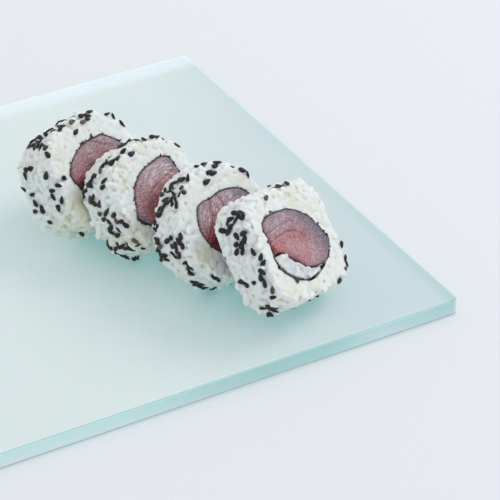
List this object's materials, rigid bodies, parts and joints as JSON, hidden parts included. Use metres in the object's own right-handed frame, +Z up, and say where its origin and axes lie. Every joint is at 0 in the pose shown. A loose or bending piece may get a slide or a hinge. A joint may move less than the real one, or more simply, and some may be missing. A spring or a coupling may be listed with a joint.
{
  "type": "uramaki rolls on a glass plate",
  "caption": "Inside-out sushi rolls with raw fish, nori and black sesame, leaning in a row on a rectangular frosted glass plate.",
  "frame": {"origin": "middle of the plate's underside, on the surface it stands on", "axes": "+X along the plate's long side towards the end with the rolls, +Y away from the viewer across the plate, +Z up"},
  "size_m": [0.3, 0.2, 0.0487],
  "materials": {
    "frosted_glass": "satin float glass with polished edges",
    "rice": "moist cooked short-grain rice with black sesame seeds",
    "nori": "moist roasted seaweed sheet",
    "fish": "wet cut raw fish"
  },
  "bodies": {
    "root": {"plate": "frosted_glass", "rice_1": "rice", "nori_1": "nori", "fish_1": "fish", "rice_2": "rice", "nori_2": "nori", "fish_2": "fish", "rice_3": "rice", "nori_3": "nori", "fish_3": "fish", "rice_4": "rice", "nori_4": "nori", "fish_4": "fish", "fish_3b": "fish", "inner_rice_4": "rice"}
  },
  "joints": []
}
